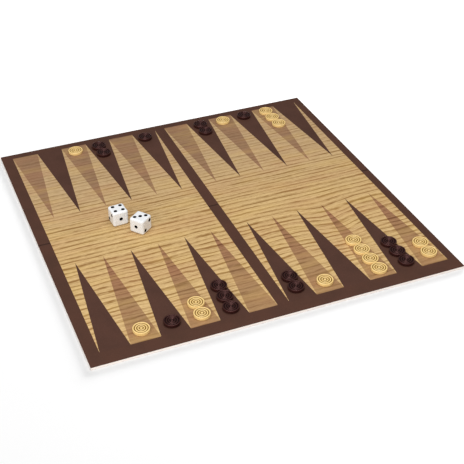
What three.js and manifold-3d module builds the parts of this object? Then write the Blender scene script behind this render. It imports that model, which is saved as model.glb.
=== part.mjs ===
// Backgammon set: a thin folding cardboard board laid open, thirty ringed checkers and two dice.
// Millimetres, +Z up. The origin is at the middle of the board's footprint, on the surface it lies on.
// +X runs along the front edge to the right, +Y runs from the front edge to the rear edge.
import * as THREE from "three";
import { RoundedBoxGeometry } from "three/addons/geometries/RoundedBoxGeometry.js";
import { mergeVertices } from "three/addons/utils/BufferGeometryUtils.js";
import Module from "manifold-3d";

const wasm = await Module();
wasm.setup();

// Board outline and layers
const boardWidth = 360;
const boardDepth = 360;
const backingThickness = 0.2;
const coreThickness = 2.0;
const printThickness = 0.2;
const boardThickness = backingThickness + coreThickness + printThickness;

// Printed layout: borders, twelve columns of points in each row, and the bar that parts them
const leftBorder = 12;
const rightBorder = 9;
const frontBorder = 15;
const rearBorder = 8.5;
const pointPitch = 27.3;
const columnsPerHalf = 6;
const barWidth = boardWidth - leftBorder - rightBorder - 2 * columnsPerHalf * pointPitch;

// Crease: midway between the base lines of the two rows of points
const frontBaseLine = -boardDepth / 2 + frontBorder;
const rearBaseLine = boardDepth / 2 - rearBorder;
const creaseY = (frontBaseLine + rearBaseLine) / 2;
const creaseGap = 0.6;

// Checkers: a flat disc with a raised rim
const checkerDiameter = 15.5;
const checkerHeight = 3.2;
const checkerRimWidth = 1.3;
const checkerRimSlope = 0.4;
const checkerRecess = 0.5;
const checkerSides = 24;
const checkerGap = 0.4;

// Dice
const dieSize = 16;
const dieEdgeRadius = 2.2;
const dieEdgeSteps = 2;
const pipDiameter = 3.7;
const pipDepth = 0.4;
const pipOffset = 3.9;
const pipSides = 10;

// Loose pieces stand this far off the printed face, so that they only just don't touch it
const restingGap = 0.02;
const playingFace = boardThickness + restingGap;

// Rows of checkers as laid out. column counts 1 to 12 from the left. start is the distance from the
// row's base line to the first checker's centre, shift moves the row sideways, and lean is how far
// each checker stands to the side of the one before it.
const checkerRows = [
  { side: "rear", column: 3, colour: "light", count: 1, start: 12.5, shift: -0.9, lean: 0 },
  { side: "rear", column: 4, colour: "dark", count: 2, start: 12.2, shift: -1.5, lean: 1.0 },
  { side: "rear", column: 6, colour: "dark", count: 1, start: 13.3, shift: -2.2, lean: 0 },
  { side: "rear", column: 8, colour: "dark", count: 2, start: 10.8, shift: -0.5, lean: 0.4 },
  { side: "rear", column: 9, colour: "light", count: 1, start: 12.0, shift: -0.3, lean: 0 },
  { side: "rear", column: 10, colour: "dark", count: 1, start: 10.3, shift: -0.5, lean: 0 },
  { side: "rear", column: 11, colour: "light", count: 3, start: 10.8, shift: -0.1, lean: 1.0 },
  { side: "front", column: 2, colour: "light", count: 1, start: 13.8, shift: 0.4, lean: 0 },
  { side: "front", column: 3, colour: "dark", count: 1, start: 13.3, shift: 0.9, lean: 0 },
  { side: "front", column: 4, colour: "light", count: 2, start: 12.7, shift: 1.3, lean: 0.3 },
  { side: "front", column: 5, colour: "dark", count: 3, start: 11.4, shift: 0.8, lean: 0.6 },
  { side: "front", column: 7, colour: "dark", count: 2, start: 15.4, shift: 0.1, lean: 1.0 },
  { side: "front", column: 8, colour: "light", count: 1, start: 13.7, shift: 1.2, lean: 0 },
  { side: "front", column: 10, colour: "light", count: 4, start: 10.7, shift: 0.9, lean: -0.4 },
  { side: "front", column: 11, colour: "dark", count: 3, start: 11.6, shift: 3.0, lean: -0.3 },
  { side: "front", column: 12, colour: "light", count: 2, start: 15.3, shift: 2.3, lean: 0.5 },
];

// Each face of a die: its outward normal and the two directions that its pips are placed along
const dieFaces = {
  top: { normal: [0, 0, 1], across: [1, 0, 0], up: [0, 1, 0] },
  bottom: { normal: [0, 0, -1], across: [1, 0, 0], up: [0, 1, 0] },
  front: { normal: [0, -1, 0], across: [1, 0, 0], up: [0, 0, 1] },
  back: { normal: [0, 1, 0], across: [1, 0, 0], up: [0, 0, 1] },
  left: { normal: [-1, 0, 0], across: [0, -1, 0], up: [0, 0, 1] },
  right: { normal: [1, 0, 0], across: [0, 1, 0], up: [0, 0, 1] },
};

// Pip places on a face, in steps of pipOffset from its middle
const pipPatterns = {
  1: [[0, 0]],
  2: [[-1, -1], [1, 1]],
  3: [[-1, -1], [0, 0], [1, 1]],
  4: [[-1, -1], [-1, 1], [1, -1], [1, 1]],
  5: [[-1, -1], [-1, 1], [0, 0], [1, -1], [1, 1]],
  6: [[-1, -1], [-1, 0], [-1, 1], [1, -1], [1, 0], [1, 1]],
};

// The two dice: where they lie, how far they are turned about +Z, and the number on each face
const dice = [
  {
    name: "left_die",
    x: -96.2,
    y: 12.7,
    yaw: 4,
    numbers: { top: 4, bottom: 3, front: 1, back: 6, left: 2, right: 5 },
  },
  {
    name: "right_die",
    x: -80,
    y: -8.8,
    yaw: -52,
    numbers: { top: 3, bottom: 4, front: 1, back: 6, left: 5, right: 2 },
  },
];

function material(color, roughness, metalness) {
  return new THREE.MeshStandardMaterial({ color, roughness, metalness });
}

// A flat rectangular layer over the board's whole width, between two depths and from one height up.
function layer(name, look, yLow, yHigh, zLow, thickness) {
  const geometry = new THREE.BoxGeometry(boardWidth, yHigh - yLow, thickness);
  const mesh = new THREE.Mesh(geometry, look);
  mesh.name = name;
  mesh.position.set(0, (yLow + yHigh) / 2, zLow + thickness / 2);
  return mesh;
}

// One half of the board: backing paper, greyboard core and the printed face sheet.
function boardHalf(half, yLow, yHigh) {
  const group = new THREE.Group();
  const coreLow = backingThickness;
  const printLow = backingThickness + coreThickness;
  const backing = material(0xcfc6b6, 0.85, 0);
  const core = material(0xe0d8cc, 0.9, 0);
  const print = material(0xc8a871, 0.5, 0);
  group.add(layer(half + "_backing_paper", backing, yLow, yHigh, 0, backingThickness));
  group.add(layer(half + "_core_board", core, yLow, yHigh, coreLow, coreThickness));
  group.add(layer(half + "_print_sheet", print, yLow, yHigh, printLow, printThickness));
  return group;
}

// A checker's outline from the middle of its underside, round its rim, to the middle of its top.
function checkerGeometry() {
  const radius = checkerDiameter / 2;
  const floor = checkerHeight - checkerRecess;
  const outline = [
    new THREE.Vector2(0, 0),
    new THREE.Vector2(radius, 0),
    new THREE.Vector2(radius, checkerHeight),
    new THREE.Vector2(radius - checkerRimWidth, checkerHeight),
    new THREE.Vector2(radius - checkerRimWidth - checkerRimSlope, floor),
    new THREE.Vector2(0, floor),
  ];
  return new THREE.LatheGeometry(outline, checkerSides).rotateX(Math.PI / 2);
}

function columnCentre(column) {
  const overBar = column > columnsPerHalf ? barWidth : 0;
  return -boardWidth / 2 + leftBorder + (column - 0.5) * pointPitch + overBar;
}

function checkerLook(colour) {
  return colour === "light" ? material(0xe8c878, 0.4, 0) : material(0x33201e, 0.35, 0);
}

// Checkers side by side on one point, the first nearest to the board's edge. counters holds how many
// checkers of each colour have been made so far.
function checkerRow(row, counters) {
  const group = new THREE.Group();
  const inward = row.side === "front" ? 1 : -1;
  const baseLine = row.side === "front" ? frontBaseLine : rearBaseLine;
  for (let i = 0; i < row.count; i += 1) {
    const mesh = new THREE.Mesh(checkerGeometry(), checkerLook(row.colour));
    const fromBase = row.start + i * (checkerDiameter + checkerGap);
    counters[row.colour] += 1;
    mesh.name = row.colour + "_checker_" + String(counters[row.colour]).padStart(2, "0");
    mesh.position.x = columnCentre(row.column) + row.shift + i * row.lean;
    mesh.position.y = baseLine + inward * fromBase;
    mesh.position.z = playingFace;
    group.add(mesh);
  }
  return group;
}

// A closed geometry as a solid that can be cut.
function toSolid(geometry) {
  const bare = geometry.clone();
  bare.deleteAttribute("normal");
  bare.deleteAttribute("uv");
  const merged = mergeVertices(bare, 1e-4);
  const vertProperties = merged.attributes.position.array;
  const triVerts = new Uint32Array(merged.index.array);
  return new wasm.Manifold(new wasm.Mesh({ numProp: 3, vertProperties, triVerts }));
}

function toGeometry(solid) {
  const mesh = solid.getMesh();
  const geometry = new THREE.BufferGeometry();
  geometry.setAttribute("position", new THREE.BufferAttribute(mesh.vertProperties, 3));
  geometry.setIndex(new THREE.BufferAttribute(mesh.triVerts, 1));
  geometry.computeVertexNormals();
  return geometry;
}

// The shallow round recess of one pip, on the face with the given normal.
function pipCutter(face, place) {
  const normal = new THREE.Vector3(...face.normal);
  const across = new THREE.Vector3(...face.across);
  const up = new THREE.Vector3(...face.up);
  const centre = normal.clone().multiplyScalar(dieSize / 2);
  centre.addScaledVector(across, place[0] * pipOffset);
  centre.addScaledVector(up, place[1] * pipOffset);
  const cutter = new THREE.CylinderGeometry(pipDiameter / 2, pipDiameter / 2, 2 * pipDepth, pipSides);
  cutter.applyMatrix4(new THREE.Matrix4().makeBasis(across, normal, across.clone().cross(normal)));
  cutter.translate(centre.x, centre.y, centre.z);
  return cutter;
}

function dieGeometry(numbers) {
  let solid = toSolid(new RoundedBoxGeometry(dieSize, dieSize, dieSize, dieEdgeSteps, dieEdgeRadius));
  for (const [faceName, number] of Object.entries(numbers)) {
    for (const place of pipPatterns[number]) {
      solid = solid.subtract(toSolid(pipCutter(dieFaces[faceName], place)));
    }
  }
  return toGeometry(solid);
}

function die(spec) {
  const mesh = new THREE.Mesh(dieGeometry(spec.numbers), material(0xf4f2ee, 0.3, 0));
  mesh.name = spec.name;
  mesh.position.set(spec.x, spec.y, playingFace + dieSize / 2);
  mesh.rotation.z = THREE.MathUtils.degToRad(spec.yaw);
  return mesh;
}

const backgammonSet = new THREE.Group();
backgammonSet.add(boardHalf("front", -boardDepth / 2, creaseY - creaseGap / 2));
backgammonSet.add(boardHalf("rear", creaseY + creaseGap / 2, boardDepth / 2));

const checkerCounters = { light: 0, dark: 0 };
for (const row of checkerRows) {
  backgammonSet.add(checkerRow(row, checkerCounters));
}
for (const spec of dice) {
  backgammonSet.add(die(spec));
}

export default backgammonSet;
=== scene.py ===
"""A folding backgammon set laid open, with its thirty checkers and two dice, around the CAD model.

Metres, +Z up. The origin is at the middle of the board's footprint, on the surface it lies on.
+X runs along the front edge to the right, +Y from the front edge to the rear edge.
"""

import math
import random

import bmesh
import bpy
from mathutils import Matrix, Vector
from mathutils.geometry import delaunay_2d_cdt


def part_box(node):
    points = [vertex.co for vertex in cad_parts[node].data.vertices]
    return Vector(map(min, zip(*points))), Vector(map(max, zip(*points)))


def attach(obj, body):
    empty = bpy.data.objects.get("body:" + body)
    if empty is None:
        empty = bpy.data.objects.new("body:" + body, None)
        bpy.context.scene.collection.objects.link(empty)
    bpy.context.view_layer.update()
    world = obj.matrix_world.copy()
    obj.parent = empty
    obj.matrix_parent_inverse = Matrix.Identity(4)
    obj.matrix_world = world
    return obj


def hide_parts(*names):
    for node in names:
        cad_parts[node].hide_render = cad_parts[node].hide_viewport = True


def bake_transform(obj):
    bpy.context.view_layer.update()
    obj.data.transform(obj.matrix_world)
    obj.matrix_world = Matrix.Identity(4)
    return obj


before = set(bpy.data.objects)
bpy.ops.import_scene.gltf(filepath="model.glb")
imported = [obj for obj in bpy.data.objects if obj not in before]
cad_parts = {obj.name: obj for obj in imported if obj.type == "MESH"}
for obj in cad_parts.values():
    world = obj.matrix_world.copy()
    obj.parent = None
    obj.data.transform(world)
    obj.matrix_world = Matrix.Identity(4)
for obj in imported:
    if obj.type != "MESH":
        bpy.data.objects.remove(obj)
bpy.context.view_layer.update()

MM = 0.001

# Camera: where it stands, what it looks at, how far it is rolled, and how it is framed
CAMERA_PLACE = Vector((-299.86, -771.48, 564.48)) * MM
CAMERA_AIM = Vector((-13.84, -40.81, 2.4)) * MM
CAMERA_ROLL = math.radians(-0.6667)
CAMERA_LENS = 76.567
CAMERA_SENSOR = 36
CAMERA_SHIFT_X = 0.0352

# Printed layout, as in the CAD source: borders, and twelve columns of points parted by the bar
LEFT_BORDER = 12 * MM
RIGHT_BORDER = 9 * MM
FRONT_BORDER = 15 * MM
REAR_BORDER = 8.5 * MM
POINT_PITCH = 27.3 * MM
COLUMNS_PER_HALF = 6
POINT_LENGTH = 128.5 * MM
# Corners of the printed sheet that agree to this many decimals of a metre are one
CORNER_DECIMALS = 7

# Crease: where it is, how far the print is worn by rubbing and darkened with painted shade to each
# side of it, and how far the printed sheet dips between the two halves
CREASE_Y = (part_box("front_print_sheet")[1].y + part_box("rear_print_sheet")[0].y) / 2
CREASE_REACH = 1.5 * MM
CREASE_DIP = 0.3 * MM
CREASE_STEPS = 12

# How much the printed sheet mirrors, as Blender's specular level
PRINT_SPECULAR = 0.1

# Wood grain, in millimetres: the pitch of the bold lines before they are bent and squeezed, where
# in each pitch the dark line lies and where its shade ends (as shares of it), how fast the lines
# close up behind y = -CLOSER_FROM, and the middle and the reach of the swirl along x
GRAIN_PITCH = 6.9
LINE_AT = 0.7
SHADE_END = 0.95
CLOSER_FROM = 20
CLOSER_RATE = 0.0006
SWIRL_X = 100
SWIRL_REACH = 29

# A size of noise, in millimetres, so large that the noise hardly changes along that axis
STEADY = 1e3

# Places of a colour Mix node's sockets
MIX_FACTOR, MIX_A, MIX_B, MIX_RESULT = 0, 6, 7, 2

# Dice: how far each is turned about +Z, and the number on each face
DICE = {
    "left_die": {
        "yaw": math.radians(4),
        "numbers": {"top": 4, "bottom": 3, "front": 1, "back": 6, "left": 2, "right": 5},
    },
    "right_die": {
        "yaw": math.radians(-52),
        "numbers": {"top": 3, "bottom": 4, "front": 1, "back": 6, "left": 5, "right": 2},
    },
}
DIE_EDGE_RADIUS = 2.2 * MM
DIE_EDGE_SEGMENTS = 8
PIP_RADIUS = 1.85 * MM
PIP_DEPTH = 0.4 * MM
PIP_OFFSET = 3.9 * MM
PIP_SIDES = 32
PIP_RINGS = 6
# The triangulation's output type in which each loop that lies inside another is a hole
TRIANGLES_WITH_HOLES = 2
TRIANGULATION_TOLERANCE = 1e-9
# Vertices of a die closer than this are one
WELD_DISTANCE = 1e-7
# A face of the bevelled cube with more than this share of a flat side's area is a flat side
FLAT_SIDE_SHARE = 0.975
PIP_PATTERNS = {
    1: [(0, 0)],
    2: [(-1, -1), (1, 1)],
    3: [(-1, -1), (0, 0), (1, 1)],
    4: [(-1, -1), (-1, 1), (1, -1), (1, 1)],
    5: [(-1, -1), (-1, 1), (0, 0), (1, -1), (1, 1)],
    6: [(-1, -1), (-1, 0), (-1, 1), (1, -1), (1, 0), (1, 1)],
}
DIE_FACES = {
    "top": {"normal": (0, 0, 1), "across": (1, 0, 0), "up": (0, 1, 0)},
    "bottom": {"normal": (0, 0, -1), "across": (1, 0, 0), "up": (0, 1, 0)},
    "front": {"normal": (0, -1, 0), "across": (1, 0, 0), "up": (0, 0, 1)},
    "back": {"normal": (0, 1, 0), "across": (1, 0, 0), "up": (0, 0, 1)},
    "left": {"normal": (-1, 0, 0), "across": (0, -1, 0), "up": (0, 0, 1)},
    "right": {"normal": (1, 0, 0), "across": (0, 1, 0), "up": (0, 0, 1)},
}

# The attribute that says how far a vertex is down a groove, from 0 to 1. The plastics paint
# shade by it.
GROOVE = "groove"

# Checkers, and the seeds of their random turns
CHECKER_SIDES = 96
CHECKERS_PER_COLOUR = 15
CHECKER_SEEDS = {"light": 11, "dark": 12}
# The heights where a groove's painted shade starts and where it is at its darkest, as shares of the
# height, and how far out the grooves go, as a share of the radius
GROOVE_TOP = 0.94
GROOVE_BOTTOM = 0.80
GROOVED_SHARE = 0.85
# Half of the moulded outline as (radius, height) shares of the radius and of the height, from the
# middle of the top to the middle of the wall. The underside is the same, turned over.
CHECKER_OUTLINE = [
    (0.000, 0.955), (0.060, 0.952), (0.110, 0.940), (0.145, 0.915), (0.165, 0.860), (0.180, 0.780),
    (0.205, 0.735), (0.250, 0.735), (0.275, 0.780), (0.290, 0.870), (0.305, 0.930), (0.325, 0.955),
    (0.395, 0.955), (0.415, 0.930), (0.430, 0.870), (0.445, 0.780), (0.470, 0.735), (0.520, 0.735),
    (0.545, 0.780), (0.560, 0.870), (0.575, 0.930), (0.595, 0.955), (0.680, 0.955), (0.700, 0.930),
    (0.715, 0.870), (0.728, 0.790), (0.750, 0.735), (0.795, 0.735), (0.818, 0.790), (0.832, 0.880),
    (0.845, 0.960), (0.862, 1.000), (0.940, 1.000), (0.966, 0.985), (0.986, 0.950), (0.997, 0.900),
    (1.000, 0.840), (1.000, 0.500),
]

# Studio: the floor's size, the brightness of the room, and the soft lights, each with its place,
# width, height and radiance. floor says whether light linking lets a light reach only the floor
# (INCLUDE) or all but the floor (EXCLUDE). A light with no floor entry reaches everything.
FLOOR_SIZE = 6.0
ROOM_STRENGTH = 0.25
LIGHTS = {
    "overhead": {"place": (0.05, -0.12, 1.6), "width": 1.4, "height": 1.4, "radiance": 2.92},
    "front_fill": {
        "place": (-0.98, -1.22, 0.72),
        "width": 2.2,
        "height": 0.9,
        "radiance": 3.1,
        "floor": "EXCLUDE",
    },
    "table": {
        "place": (1.5, 1.5, 0.42),
        "width": 2.0,
        "height": 0.6,
        "radiance": 24,
        "floor": "INCLUDE",
    },
}


class Look:
    """One procedural material.

    place is a point's place in the row frame, in millimetres, and own_normal is which way the
    surface faces there, in the piece's own axes."""

    def __init__(self, name, roughness=0.5, specular=0.5):
        self.material = bpy.data.materials.new(name)
        self.material.use_nodes = True
        self.tree = self.material.node_tree
        self.shader = self.tree.nodes["Principled BSDF"]
        self.shader.inputs["Roughness"].default_value = roughness
        self.shader.inputs["Specular IOR Level"].default_value = specular
        coordinates = self.add("ShaderNodeTexCoord")
        self.place = self.vector("SCALE", coordinates.outputs["Object"], scale=1 / MM)
        self.own_normal = coordinates.outputs["Normal"]

    def add(self, kind, inputs=None, **settings):
        """A new node, with its inputs and its settings given by name."""
        node = self.tree.nodes.new(kind)
        for name, value in settings.items():
            setattr(node, name, value)
        for name, value in (inputs or {}).items():
            self.feed(node.inputs[name], value)
        return node

    def feed(self, socket, value):
        """Links the value to the socket if it is another node's output, and sets it if it isn't."""
        if isinstance(value, bpy.types.NodeSocket):
            self.tree.links.new(value, socket)
        else:
            socket.default_value = value

    def vector(self, operation, a, b=None, scale=None):
        node = self.add("ShaderNodeVectorMath", {0: a}, operation=operation)
        if b is not None:
            self.feed(node.inputs[1], b)
        if scale is not None:
            self.feed(node.inputs["Scale"], scale)
        return node.outputs["Vector"]

    def math(self, operation, a, b=0.0, clamp=False):
        node = self.add("ShaderNodeMath", {0: a, 1: b}, operation=operation, use_clamp=clamp)
        return node.outputs[0]

    def plus(self, a, b):
        return self.math("ADD", a, b)

    def minus(self, a, b):
        return self.math("SUBTRACT", a, b)

    def times(self, a, b):
        return self.math("MULTIPLY", a, b)

    def over(self, a, b):
        return self.math("DIVIDE", a, b)

    def noise(self, place, size, detail=2.0, roughness=0.5, shift=0.0):
        """Soft noise, 0 to 1. size is the size of its features along x, y and z, in millimetres."""
        stretched = self.vector("MULTIPLY", place, tuple(1 / s for s in size))
        moved = self.vector("ADD", stretched, (shift, shift, shift))
        inputs = {"Vector": moved, "Scale": 1.0, "Detail": detail, "Roughness": roughness}
        return self.add("ShaderNodeTexNoise", inputs).outputs["Fac"]

    def span(self, value, low, high, to_low=0.0, to_high=1.0):
        """value carried smoothly from low..high to to_low..to_high, and held at both ends."""
        inputs = {
            "Value": value,
            "From Min": low,
            "From Max": high,
            "To Min": to_low,
            "To Max": to_high,
        }
        node = self.add("ShaderNodeMapRange", inputs, interpolation_type="SMOOTHSTEP")
        return node.outputs["Result"]

    def mix(self, factor, a, b, blend="MIX"):
        """Colour a where factor is 0, and b, or the two blended, where it is 1."""
        inputs = {MIX_FACTOR: factor, MIX_A: a, MIX_B: b}
        node = self.add("ShaderNodeMix", inputs, data_type="RGBA", blend_type=blend)
        return node.outputs[MIX_RESULT]

    def bump(self, height, distance, strength=1.0, under=None):
        """distance is how high a step from 0 to 1 in height stands, in metres."""
        inputs = {"Height": height, "Distance": distance, "Strength": strength}
        node = self.add("ShaderNodeBump", inputs)
        if under is not None:
            self.feed(node.inputs["Normal"], under)
        return node.outputs["Normal"]

    def colour(self, value):
        self.feed(self.shader.inputs["Base Color"], value)

    def roughness(self, value):
        self.feed(self.shader.inputs["Roughness"], value)

    def normal(self, value):
        self.feed(self.shader.inputs["Normal"], value)


def srgb(red, green, blue):
    """A colour given as it is seen, 0 to 255, in Blender's linear values."""
    linear = []
    for channel in (red, green, blue):
        share = channel / 255
        linear.append(share / 12.92 if share <= 0.04045 else ((share + 0.055) / 1.055) ** 2.4)
    return (*linear, 1.0)


# ---- Materials ----

def bend_lines(look, x, y, front):
    """y moved aside, as the grain's lines wander, ripple and swirl.

    front is 1 over the front of the board and 0 over the rest."""
    wander = look.minus(look.noise(look.place, (75, 34, STEADY), 2), 0.5)
    ripple = look.minus(look.noise(look.place, (24, 11, STEADY), 2, shift=7), 0.5)
    wander = look.times(wander, look.span(front, 0, 1, 3.5, 7.5))
    ripple = look.times(ripple, look.span(front, 0, 1, 1.6, 4.5))
    aside = look.over(look.minus(x, SWIRL_X), SWIRL_REACH)
    swirl = look.math("EXPONENT", look.times(look.times(aside, aside), -1))
    swirl = look.times(swirl, look.span(y, -5, -62, 0.0, 7.5))
    swirl = look.times(swirl, look.span(y, -115, -85))
    return look.plus(y, look.plus(look.plus(wander, ripple), swirl))


def bold_lines(look, y, bent, line_place):
    """The grain's bold lines, and the shade that deepens up to each of them, both 0 to 1."""
    spread = look.times(look.noise(line_place, (STEADY, 21, STEADY), 1, shift=3), 12)
    beyond = look.math("MAXIMUM", look.plus(y, CLOSER_FROM), 0)
    closer = look.times(look.times(beyond, beyond), CLOSER_RATE)
    path = look.plus(look.plus(bent, spread), closer)
    phase = look.math("FRACT", look.over(path, GRAIN_PITCH))
    width_noise = look.noise(look.place, (30, 5, STEADY), 2, shift=13)
    width = look.span(width_noise, 0.3, 0.7, 0.14, 0.36)
    offset = look.math("ABSOLUTE", look.minus(phase, LINE_AT))
    line = look.math("SUBTRACT", 1.0, look.over(offset, width), clamp=True)
    line = look.span(line, 0, 1)
    shade = look.times(phase, look.span(phase, LINE_AT, SHADE_END, 1.0, 0.0))
    strength = look.noise(look.place, (34, 7, STEADY), 3, 0.65, shift=11)
    return look.times(line, look.span(strength, 0.36, 0.62, 0.12, 1.0)), shade


def thin_lines(look, line_place):
    """The broken thin lines among the bold ones, 0 to 1."""
    line = look.noise(line_place, (STEADY, 2.1, STEADY), 2, 0.5, shift=19)
    broken = look.noise(look.place, (28, 4, STEADY), 2, 0.6, shift=17)
    return look.times(look.span(line, 0.45, 0.66), look.span(broken, 0.35, 0.6, 0.35, 1.0))


def wood_grain(look):
    """The printed wood's grain, 0 in its light bands to 1 in its dark lines.

    The lines run along +X. They are fine and straight at the rear, and bold and wavy at the front,
    with one swirl near the front right."""
    parts = look.add("ShaderNodeSeparateXYZ", {0: look.place}).outputs
    x, y = parts["X"], parts["Y"]
    front = look.span(y, -15, -50)
    bent = bend_lines(look, x, y, front)
    line_place = look.add("ShaderNodeCombineXYZ", {0: 0.0, 1: bent, 2: 0.0}).outputs[0]
    bold, shade = bold_lines(look, y, bent, line_place)
    thin = thin_lines(look, line_place)
    fine = look.noise(look.place, (5.5, 1.1, STEADY), 3, 0.68, shift=23)
    front_end = look.span(y, -150, -95, 0.62, 1.0)
    rear_end = look.span(y, 15, 80, 1.0, 0.45)
    weight = look.times(look.span(front, 0, 1, 0.8, 0.9), look.times(front_end, rear_end))
    grain = look.plus(look.times(bold, weight), look.times(shade, 0.2))
    grain = look.plus(grain, look.times(thin, look.span(y, 25, 95, 0.48, 0.4)))
    return look.math("ADD", grain, look.span(fine, 0.3, 0.7, 0.03, 0.37), clamp=True)


def paper_surface(look, base_roughness):
    """Gives the look the printed sheet's faint tooth and handling marks, and returns the marks."""
    tooth = look.noise(look.place, (0.35, 0.35, 0.35), 3, 0.6, shift=31)
    handled = look.noise(look.place, (28, 28, 28), 4, 0.55, shift=37)
    look.roughness(look.span(handled, 0.3, 0.7, base_roughness - 0.07, base_roughness + 0.08))
    look.normal(look.bump(tooth, 0.012 * MM, 0.6))
    return handled


def crease_wear_and_shade(look, colour, share):
    """Colour darkened by up to the given share along the crease: worn print and painted shade."""
    y = look.add("ShaderNodeSeparateXYZ", {0: look.place}).outputs["Y"]
    frayed = look.noise(look.place, (3, STEADY, STEADY), 2, shift=39)
    away = look.math("ABSOLUTE", look.minus(y, CREASE_Y / MM))
    rubbed_and_shaded = look.times(look.span(away, 0.3, CREASE_REACH / MM, 1.0, 0.0), share)
    rubbed_and_shaded = look.times(rubbed_and_shaded, look.span(frayed, 0.3, 0.7, 0.8, 1.0))
    # Near-black brown that the crease darkens towards: grime and painted shade
    grime_and_painted_shade = srgb(30, 19, 15)
    return look.mix(rubbed_and_shaded, colour, grime_and_painted_shade)


def printed_wood(name, front, rear, tip, darken, darken_tip):
    """Wood print that shades from its front colour through its tip colour to its rear colour.

    darken is how dark the grain's lines are, as a share of the colour around them, and darken_tip
    is the same round the tips of the front row of points."""
    reddish = srgb(184, 122, 92)
    gold = srgb(228, 192, 112)
    soiled = srgb(120, 100, 80)
    look = Look(name, specular=PRINT_SPECULAR)
    y = look.add("ShaderNodeSeparateXYZ", {0: look.place}).outputs["Y"]
    grain = wood_grain(look)
    handled = paper_surface(look, 0.52)
    colour = look.mix(look.span(y, -120, -70), front, tip)
    colour = look.mix(look.span(y, -30, 110), colour, rear)
    near_tips = look.times(look.span(y, -115, -75), look.span(y, -45, -20, 1.0, 0.0))
    lines = look.mix(1.0, colour, look.mix(near_tips, darken, darken_tip), "MULTIPLY")
    colour = look.mix(grain, colour, lines)
    patch = look.noise(look.place, (70, 24, STEADY), 2, shift=41)
    colour = look.mix(look.span(patch, 0.4, 0.7, 0.0, 0.16), colour, reddish)
    golden = look.noise(look.place, (46, 13, STEADY), 2, shift=43)
    colour = look.mix(look.span(golden, 0.45, 0.7, 0.0, 0.15), colour, gold)
    colour = look.mix(look.span(handled, 0.4, 0.8, 0.0, 0.05), colour, soiled)
    # The crease is darkened a little here: worn print and painted shade
    look.colour(crease_wear_and_shade(look, colour, 0.1))
    return look.material


def printed_brown(name, base, other):
    """Plain brown print that varies between two browns, with paler speckles."""
    speck = srgb(118, 84, 70)
    look = Look(name, specular=PRINT_SPECULAR)
    handled = paper_surface(look, 0.5)
    speckle = look.noise(look.place, (0.9, 0.9, 0.9), 2, 0.7, shift=43)
    colour = look.mix(look.span(handled, 0.3, 0.75), base, other)
    colour = look.mix(look.span(speckle, 0.45, 0.85, 0.0, 0.2), colour, speck)
    # The crease is darkened strongly here: worn print and painted shade
    look.colour(crease_wear_and_shade(look, colour, 0.65))
    return look.material


def raw_board(name):
    """Greyboard cut through: pale pressed fibres in thin layers."""
    pale = srgb(250, 241, 235)
    greyer = srgb(240, 229, 221)
    fibre = srgb(216, 201, 190)
    look = Look(name, roughness=0.9, specular=0.2)
    layers = look.noise(look.place, (9, 9, 0.22), 4, 0.65, shift=47)
    fibres = look.noise(look.place, (0.5, 0.5, 0.12), 4, 0.7, shift=53)
    colour = look.mix(look.span(layers, 0.3, 0.7), pale, greyer)
    look.colour(look.mix(look.span(fibres, 0.5, 0.85, 0.0, 0.6), colour, fibre))
    look.roughness(look.span(fibres, 0.2, 0.8, 0.84, 0.97))
    look.normal(look.bump(fibres, 0.06 * MM))
    return look.material


def backing(name):
    """The plain uncoated paper under the board, with painted light making its cut sides pale."""
    sand = srgb(204, 194, 178)
    darker_sand = srgb(198, 187, 170)
    fibre = srgb(170, 157, 138)
    fleck = srgb(122, 106, 88)
    painted_light_side = srgb(240, 230, 222)
    look = Look(name, roughness=0.85, specular=0.2)
    fibres = look.noise(look.place, (3.2, 0.5, 0.5), 4, 0.65, shift=59)
    clouds = look.noise(look.place, (9, 9, 9), 3, 0.6, shift=61)
    flecks = look.noise(look.place, (0.7, 0.7, 0.7), 1, 0.5, shift=67)
    colour = look.mix(look.span(clouds, 0.3, 0.7), sand, darker_sand)
    colour = look.mix(look.span(fibres, 0.52, 0.78, 0.0, 0.35), colour, fibre)
    colour = look.mix(look.span(flecks, 0.74, 0.82, 0.0, 0.5), colour, fleck)
    # Painted light: the sides, where the board meets the floor, are lifted towards a pale colour
    facing_up = look.add("ShaderNodeSeparateXYZ", {0: look.own_normal}).outputs["Z"]
    cut = look.span(look.math("ABSOLUTE", facing_up), 0.3, 0.7, 1.0, 0.0)
    look.colour(look.mix(cut, colour, painted_light_side))
    look.roughness(look.span(clouds, 0.2, 0.8, 0.78, 0.92))
    look.normal(look.bump(fibres, 0.03 * MM))
    return look.material


def cut_paper(name):
    """The printed sheet's own cut edge and glued underside."""
    pale = srgb(238, 229, 220)
    fibre = srgb(205, 190, 176)
    look = Look(name, roughness=0.8, specular=0.2)
    fibres = look.noise(look.place, (0.8, 0.8, 0.08), 3, 0.6, shift=71)
    look.colour(look.mix(look.span(fibres, 0.3, 0.8), pale, fibre))
    look.normal(look.bump(fibres, 0.02 * MM))
    return look.material


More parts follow.
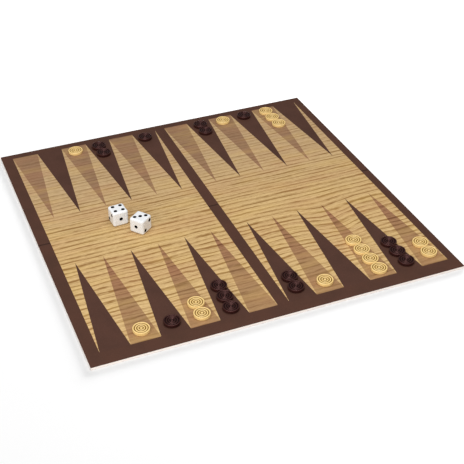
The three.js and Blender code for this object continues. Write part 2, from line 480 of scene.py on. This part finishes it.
def moulded_plastic(name, base, other, worn, groove_shade, roughness, specular, shine=(1, 1, 1, 1)):
    """Injection-moulded plastic: faint flow marks, a fine skin and small scuffs.

    base and other are the two colours that it flows between, and worn is its colour where it is
    scuffed. groove_shade is painted shade: the colour at the bottom of the moulded grooves, which
    the GROOVE attribute marks. shine tints the highlights."""
    look = Look(name, specular=specular)
    look.shader.inputs["Specular Tint"].default_value = shine
    groove = look.add("ShaderNodeAttribute", attribute_name=GROOVE).outputs["Fac"]
    flow = look.noise(look.place, (5, 5, 5), 3, 0.55, shift=73)
    skin = look.noise(look.place, (0.28, 0.28, 0.28), 3, 0.6, shift=79)
    scuffs = look.noise(look.place, (0.35, 2.4, 1.2), 4, 0.7, shift=83)
    scuffs = look.span(scuffs, 0.6, 0.78)
    colour = look.mix(look.span(flow, 0.3, 0.7), base, other)
    colour = look.mix(look.times(scuffs, 0.35), colour, worn)
    # Painted shade: darker down the moulded grooves, as far as the GROOVE attribute says
    look.colour(look.mix(groove, colour, groove_shade))
    gloss = look.span(flow, 0.25, 0.75, roughness - 0.05, roughness + 0.06)
    look.roughness(look.math("ADD", gloss, look.times(scuffs, 0.14), clamp=True))
    fine = look.bump(skin, 0.008 * MM, 0.7)
    look.normal(look.bump(scuffs, -0.01 * MM, 0.6, under=fine))
    return look.material


def pip_paint(name):
    """The dice's black paint, which has pooled unevenly in the pips."""
    black = srgb(4, 4, 5)
    greyer = srgb(11, 10, 11)
    look = Look(name, specular=0.02)
    pooled = look.noise(look.place, (0.7, 0.7, 0.7), 3, 0.6, shift=89)
    look.colour(look.mix(look.span(pooled, 0.3, 0.8), black, greyer))
    look.roughness(look.span(pooled, 0.3, 0.7, 0.35, 0.55))
    look.normal(look.bump(pooled, 0.01 * MM))
    return look.material


def floor_material(name):
    """The pale studio floor, very slightly mottled."""
    look = Look(name, roughness=0.8, specular=0.1)
    mottle = look.noise(look.place, (160, 160, 160), 2, 0.5, shift=97)
    look.colour(look.mix(mottle, srgb(251, 251, 251), srgb(253, 253, 253)))
    return look.material


border_print = printed_brown("border_print", srgb(85, 56, 45), srgb(77, 52, 42))
dark_point_print = printed_brown("dark_point_print", srgb(84, 56, 46), srgb(76, 51, 42))
field_print = printed_wood(
    "field_print",
    front=srgb(234, 201, 144),
    rear=srgb(211, 181, 138),
    tip=srgb(230, 197, 140),
    darken=srgb(170, 150, 122),
    darken_tip=srgb(168, 146, 119),
)
mid_point_print = printed_wood(
    "mid_point_print",
    front=srgb(180, 142, 101),
    rear=srgb(163, 129, 99),
    tip=srgb(173, 128, 94),
    darken=srgb(192, 180, 166),
    darken_tip=srgb(162, 144, 132),
)
paper_edge = cut_paper("cut_paper")
greyboard = raw_board("greyboard")
backing_paper = backing("backing_paper")
light_plastic = moulded_plastic(
    "light_plastic",
    base=srgb(249, 215, 145),
    other=srgb(243, 207, 133),
    worn=srgb(250, 232, 188),
    # Painted shade at the bottom of the grooves
    groove_shade=srgb(138, 102, 38),
    roughness=0.36,
    specular=0.4,
)
dark_plastic = moulded_plastic(
    "dark_plastic",
    base=srgb(52, 25, 22),
    other=srgb(44, 20, 18),
    worn=srgb(96, 68, 62),
    # Painted shade at the bottom of the grooves
    groove_shade=srgb(12, 3, 3),
    roughness=0.27,
    specular=0.5,
    shine=(1.0, 0.5, 0.46, 1.0),
)
die_plastic = moulded_plastic(
    "die_plastic",
    base=srgb(243, 245, 247),
    other=srgb(239, 241, 243),
    worn=srgb(228, 228, 226),
    groove_shade=srgb(243, 245, 247),
    roughness=0.24,
    specular=0.5,
)
die_pips = pip_paint("die_pips")


# ---- Making pieces ----

def make_piece(name, mesh_maker, materials):
    """A new object whose mesh is in the row frame. mesh_maker fills a bmesh."""
    built = bmesh.new()
    mesh_maker(built)
    mesh = bpy.data.meshes.new(name)
    built.to_mesh(mesh)
    built.free()
    for material in materials:
        mesh.materials.append(material)
    piece = bpy.data.objects.new(name, mesh)
    bpy.context.scene.collection.objects.link(piece)
    return piece


# ---- The printed sheet ----

# Places of the materials in PRINT_MATERIALS
BORDER, DARK_POINT, MID_POINT, FIELD, PAPER = range(5)
PRINT_MATERIALS = [border_print, dark_point_print, mid_point_print, field_print, paper_edge]


def column_edges(left, right):
    """Where the columns of the left and of the right half of a row start and end."""
    left_start = left + LEFT_BORDER
    right_end = right - RIGHT_BORDER
    right_start = right_end - COLUMNS_PER_HALF * POINT_PITCH
    steps = range(COLUMNS_PER_HALF + 1)
    return (
        [left_start + i * POINT_PITCH for i in steps],
        [right_start + i * POINT_PITCH for i in steps],
    )


def print_regions(left, right, outer, base, apex, crease, first_is_dark):
    """The printed layout of one half as (outline, material) pairs, outlines as (x, y) points.

    Along y, outer is the board's edge, base the line that the points stand on, apex the line that
    their tips reach, and crease the inner edge of the half. first_is_dark says whether the leftmost
    point of each six is dark."""
    regions = []
    left_columns, right_columns = column_edges(left, right)
    edges = [left, *left_columns, *right_columns, right]
    for a, b in zip(edges, edges[1:]):
        regions.append(([(a, outer), (b, outer), (b, base), (a, base)], BORDER))
    left_strip = (left, left_columns[0])
    bar = (left_columns[-1], right_columns[0])
    right_strip = (right_columns[-1], right)
    for a, b in (left_strip, bar, right_strip):
        regions.append(([(a, base), (b, base), (b, crease), (a, crease)], BORDER))
    for columns in (left_columns, right_columns):
        zigzag = [(columns[0], base)]
        for i, (a, b) in enumerate(zip(columns, columns[1:])):
            tip = ((a + b) / 2, apex)
            is_dark = (i % 2 == 0) == first_is_dark
            regions.append(([(a, base), (b, base), tip], DARK_POINT if is_dark else MID_POINT))
            zigzag += [tip, (b, base)]
        field = [*zigzag, (columns[-1], crease), (columns[0], crease)]
        regions.append((field, FIELD))
    return regions


def signed_area(outline):
    """The area inside an outline of (x, y) points, above 0 if they run anticlockwise."""
    pairs = zip(outline, outline[1:] + outline[:1])
    return sum(ax * by - bx * ay for (ax, ay), (bx, by) in pairs) / 2


def fill_sheet(built, regions, low, high):
    """A sheet from low to high whose upper face is split into the given regions.

    Its walls stand on the edges that no two regions share."""
    corners = {}

    def corner(point, z):
        key = (round(point[0], CORNER_DECIMALS), round(point[1], CORNER_DECIMALS), z)
        if key not in corners:
            corners[key] = built.verts.new((*point, z))
        return corners[key]

    upper_faces = []
    for outline, material in regions:
        turned = outline if signed_area(outline) > 0 else outline[::-1]
        upper = built.faces.new([corner(p, high) for p in turned])
        upper.material_index = material
        upper_faces.append(upper)
        lower = built.faces.new([corner(p, low) for p in turned[::-1]])
        lower.material_index = PAPER
    for upper in upper_faces:
        for loop in upper.loops:
            if not loop.edge.is_boundary:
                continue
            a, b = loop.vert, loop.link_loop_next.vert
            below = [corner((v.co.x, v.co.y), low) for v in (b, a)]
            wall = built.faces.new([b, a, *below[::-1]])
            wall.material_index = PAPER


def make_printed_face(side):
    """The printed sheet of the front or of the rear half."""
    low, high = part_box(side + "_print_sheet")
    if side == "front":
        outer, crease = low.y, high.y
        base = outer + FRONT_BORDER
        apex = base + POINT_LENGTH
    else:
        outer, crease = high.y, low.y
        base = outer - REAR_BORDER
        apex = base - POINT_LENGTH
    regions = print_regions(low.x, high.x, outer, base, apex, crease, side == "front")
    piece = make_piece(
        side + "_printed_face",
        lambda built: fill_sheet(built, regions, low.z, high.z),
        PRINT_MATERIALS,
    )
    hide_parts(side + "_print_sheet")
    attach(piece, side + "_half")


def fill_crease(built, stations, y_low, y_high, z_top, thickness):
    """The printed sheet where it bridges the two halves: a shallow groove along +X.

    stations are (x, material of the stretch that starts there) pairs."""
    rings = []
    for x, _ in stations:
        upper, lower = [], []
        for i in range(CREASE_STEPS + 1):
            share = i / CREASE_STEPS
            y = y_low + share * (y_high - y_low)
            z = z_top - CREASE_DIP * math.sin(math.pi * share)
            upper.append(built.verts.new((x, y, z)))
            lower.append(built.verts.new((x, y, z - thickness)))
        rings.append(upper + lower[::-1])
    for (_, material), near, far in zip(stations, rings, rings[1:]):
        for i in range(len(near)):
            j = (i + 1) % len(near)
            face = built.faces.new([near[i], far[i], far[j], near[j]])
            face.material_index = material if i < CREASE_STEPS else PAPER
            face.smooth = True
    for ring, turned in ((rings[0], True), (rings[-1], False)):
        half = len(ring) // 2
        for i in range(half - 1):
            quad = [ring[i], ring[i + 1], ring[-2 - i], ring[-1 - i]]
            built.faces.new(quad if turned else quad[::-1]).material_index = PAPER
    bmesh.ops.recalc_face_normals(built, faces=built.faces)


def make_crease():
    """The stretch of printed sheet between the halves, where the real board bends as it folds."""
    front_low, front_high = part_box("front_print_sheet")
    rear_low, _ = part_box("rear_print_sheet")
    left_columns, right_columns = column_edges(front_low.x, front_high.x)
    stations = [
        (front_low.x, BORDER),
        (left_columns[0], FIELD),
        (left_columns[-1], BORDER),
        (right_columns[0], FIELD),
        (right_columns[-1], BORDER),
        (front_high.x, BORDER),
    ]
    y_low, y_high, z_top = front_high.y, rear_low.y, front_high.z
    thickness = (front_high.z - front_low.z) / 2
    piece = make_piece(
        "crease_hinge_paper",
        lambda built: fill_crease(built, stations, y_low, y_high, z_top, thickness),
        PRINT_MATERIALS,
    )
    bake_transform(piece)


# ---- Checkers ----

def fill_checker(built, low, high, turn):
    """A turned disc between the corners low and high, the same on both faces.

    turn is the angle of its first vertex about +Z."""
    centre = (low + high) / 2
    radius = (high.x - low.x) / 2
    half_height = (high.z - low.z) / 2
    top = [(r * radius, (2 * h - 1) * half_height) for r, h in CHECKER_OUTLINE]
    outline = top + [(r, -h) for r, h in top[-2::-1]]
    groove = built.verts.layers.float.new(GROOVE)
    rings = []
    for r, h in outline:
        ring = []
        for i in range(CHECKER_SIDES if r > 0 else 1):
            angle = turn + 2 * math.pi * i / CHECKER_SIDES
            x = centre.x + r * math.cos(angle)
            y = centre.y + r * math.sin(angle)
            ring.append(built.verts.new((x, y, centre.z + h)))
        share = (abs(h) / half_height + 1) / 2
        sunk = (GROOVE_TOP - share) / (GROOVE_TOP - GROOVE_BOTTOM)
        for vert in ring:
            vert[groove] = min(max(sunk, 0), 1) if r < GROOVED_SHARE * radius else 0
        rings.append(ring)
    for upper, lower in zip(rings, rings[1:]):
        for i in range(CHECKER_SIDES):
            j = (i + 1) % CHECKER_SIDES
            if len(upper) == 1:
                corners = [upper[0], lower[i], lower[j]]
            elif len(lower) == 1:
                corners = [upper[i], lower[0], upper[j]]
            else:
                corners = [upper[i], lower[i], lower[j], upper[j]]
            built.faces.new(corners).smooth = True
    bmesh.ops.recalc_face_normals(built, faces=built.faces)


def make_checkers(colour, material):
    draws = random.Random(CHECKER_SEEDS[colour])
    for number in range(1, CHECKERS_PER_COLOUR + 1):
        node = f"{colour}_checker_{number:02d}"
        low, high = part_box(node)
        turn = draws.uniform(0, 2 * math.pi)
        piece = make_piece(
            node + "_disc", lambda built: fill_checker(built, low, high, turn), [material]
        )
        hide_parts(node)
        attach(piece, node)


# ---- Dice ----

DIE_MATERIALS = [die_plastic, die_pips]
PIP_MATERIAL = DIE_MATERIALS.index(die_pips)


def circle(u, v, radius):
    """The points of a circle about (u, v), anticlockwise."""
    angles = [2 * math.pi * i / PIP_SIDES for i in range(PIP_SIDES)]
    return [Vector((u + radius * math.cos(a), v + radius * math.sin(a))) for a in angles]


def fill_pip(built, rim, lift, u, v):
    """A shallow bowl about (u, v) inside the rim, a ring of vertices.

    lift(u, v, depth) is the place of a point that far below the die's side."""
    bowl_radius = (PIP_RADIUS ** 2 + PIP_DEPTH ** 2) / (2 * PIP_DEPTH)
    ring = rim
    for step in range(1, PIP_RINGS + 1):
        r = PIP_RADIUS * (1 - step / PIP_RINGS)
        if step < PIP_RINGS:
            depth = PIP_DEPTH - bowl_radius + math.sqrt(bowl_radius ** 2 - r ** 2)
            inner = [built.verts.new(lift(p.x, p.y, depth)) for p in circle(u, v, r)]
        else:
            inner = [built.verts.new(lift(u, v, PIP_DEPTH))] * PIP_SIDES
        for i in range(PIP_SIDES):
            j = (i + 1) % PIP_SIDES
            corners = [ring[i], ring[j], inner[j]]
            if step < PIP_RINGS:
                corners.append(inner[i])
            face = built.faces.new(corners)
            face.material_index = PIP_MATERIAL
            face.smooth = True
        ring = inner


def fill_die_side(built, face, number, half, flat):
    """One flat side of a die with its pips sunk in it. half is half the die, flat half the flat."""
    normal = Vector(face["normal"])
    across = Vector(face["across"])
    up = Vector(face["up"])

    def lift(u, v, depth):
        return normal * (half - depth) + across * u + up * v

    centres = [(u * PIP_OFFSET, v * PIP_OFFSET) for u, v in PIP_PATTERNS[number]]
    points = [Vector((u * flat, v * flat)) for u, v in ((-1, -1), (1, -1), (1, 1), (-1, 1))]
    loops = [list(range(len(points)))]
    for u, v in centres:
        loops.append(list(range(len(points), len(points) + PIP_SIDES)))
        points += circle(u, v, PIP_RADIUS)
    filled, _, triangles, _, _, _ = delaunay_2d_cdt(
        points, [], loops, TRIANGLES_WITH_HOLES, TRIANGULATION_TOLERANCE
    )
    # The points stay in their order, because no two of them meet
    verts = [built.verts.new(lift(p.x, p.y, 0)) for p in filled]
    for triangle in triangles:
        built.faces.new([verts[i] for i in triangle])
    for rim, (u, v) in zip(loops[1:], centres):
        fill_pip(built, [verts[i] for i in rim], lift, u, v)


def fill_die(built, half, numbers):
    """A rounded cube about the origin: its rounded edges and corners, then its six flat sides.

    The edges round the pips are sharp."""
    bmesh.ops.create_cube(built, size=2 * half)
    bmesh.ops.bevel(
        built,
        geom=list(built.edges),
        offset=DIE_EDGE_RADIUS,
        offset_type="OFFSET",
        segments=DIE_EDGE_SEGMENTS,
        profile=0.5,
        affect="EDGES",
    )
    flat = half - DIE_EDGE_RADIUS
    least_area = FLAT_SIDE_SHARE * (2 * flat) ** 2
    flat_sides = [face for face in built.faces if face.calc_area() > least_area]
    bmesh.ops.delete(built, geom=flat_sides, context="FACES_ONLY")
    for face in built.faces:
        face.smooth = True
    for side, number in numbers.items():
        fill_die_side(built, DIE_FACES[side], number, half, flat)
    bmesh.ops.remove_doubles(built, verts=built.verts, dist=WELD_DISTANCE)
    bmesh.ops.recalc_face_normals(built, faces=built.faces)
    for edge in built.edges:
        if len({face.material_index for face in edge.link_faces}) > 1:
            edge.smooth = False


def make_die(node, yaw, numbers):
    low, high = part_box(node)
    half = (high.z - low.z) / 2
    centre = (low + high) / 2

    def fill(built):
        fill_die(built, half, numbers)
        built.transform(Matrix.Translation(centre) @ Matrix.Rotation(yaw, 4, "Z"))

    piece = make_piece(node + "_body", fill, DIE_MATERIALS)
    shading = piece.modifiers.new("flat_sides_stay_flat", "WEIGHTED_NORMAL")
    shading.keep_sharp = True
    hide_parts(node)
    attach(piece, node)


# ---- Camera, floor and light ----

def set_camera():
    """The camera at the photograph's viewing angle, rolled a little about its line of sight."""
    forward = (CAMERA_AIM - CAMERA_PLACE).normalized()
    level_right = forward.cross(Vector((0, 0, 1))).normalized()
    level_up = level_right.cross(forward)
    right = level_right * math.cos(CAMERA_ROLL) + level_up * math.sin(CAMERA_ROLL)
    up = right.cross(forward)
    data = bpy.data.cameras.new("camera")
    data.lens = CAMERA_LENS
    data.sensor_width = CAMERA_SENSOR
    data.shift_x = CAMERA_SHIFT_X
    camera = bpy.data.objects.new("camera", data)
    turned = Matrix((right, up, -forward)).transposed().to_4x4()
    camera.matrix_world = Matrix.Translation(CAMERA_PLACE) @ turned
    bpy.context.scene.collection.objects.link(camera)
    bpy.context.scene.camera = camera


def add_soft_light(name, place, width, height, radiance):
    """A softbox at place that faces the origin, with the given radiance."""
    data = bpy.data.lights.new(name, "AREA")
    data.shape = "RECTANGLE"
    data.size = width
    data.size_y = height
    data.energy = radiance * math.pi * width * height
    light = bpy.data.objects.new(name, data)
    light.location = place
    light.rotation_mode = "QUATERNION"
    light.rotation_quaternion = (-place).to_track_quat("-Z", "Y")
    bpy.context.scene.collection.objects.link(light)
    return light


def limit_light(light, floor, floor_state):
    """The light reaches only the floor if floor_state is INCLUDE, all but the floor if EXCLUDE."""
    reached = bpy.data.collections.new(light.name + "_reaches")
    reached.objects.link(floor)
    reached.collection_objects[0].light_linking.link_state = floor_state
    light.light_linking.receiver_collection = reached


def set_stage():
    def fill(built):
        bmesh.ops.create_grid(built, x_segments=1, y_segments=1, size=FLOOR_SIZE / 2)

    floor = make_piece("floor", fill, [floor_material("floor")])
    world = bpy.data.worlds.new("soft_room")
    world.use_nodes = True
    background = world.node_tree.nodes["Background"]
    background.inputs["Color"].default_value = (1, 1, 1, 1)
    background.inputs["Strength"].default_value = ROOM_STRENGTH
    bpy.context.scene.world = world
    for name, spec in LIGHTS.items():
        place = Vector(spec["place"])
        light = add_soft_light(name, place, spec["width"], spec["height"], spec["radiance"])
        if "floor" in spec:
            limit_light(light, floor, spec["floor"])
    bpy.context.scene.view_settings.view_transform = "Standard"
    bpy.context.scene.view_settings.look = "None"


set_camera()
set_stage()

make_printed_face("front")
make_printed_face("rear")
make_crease()
for half_name in ("front", "rear"):
    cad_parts[half_name + "_core_board"].data.materials[0] = greyboard
    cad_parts[half_name + "_backing_paper"].data.materials[0] = backing_paper
make_checkers("light", light_plastic)
make_checkers("dark", dark_plastic)
for die_node, die in DICE.items():
    make_die(die_node, die["yaw"], die["numbers"])
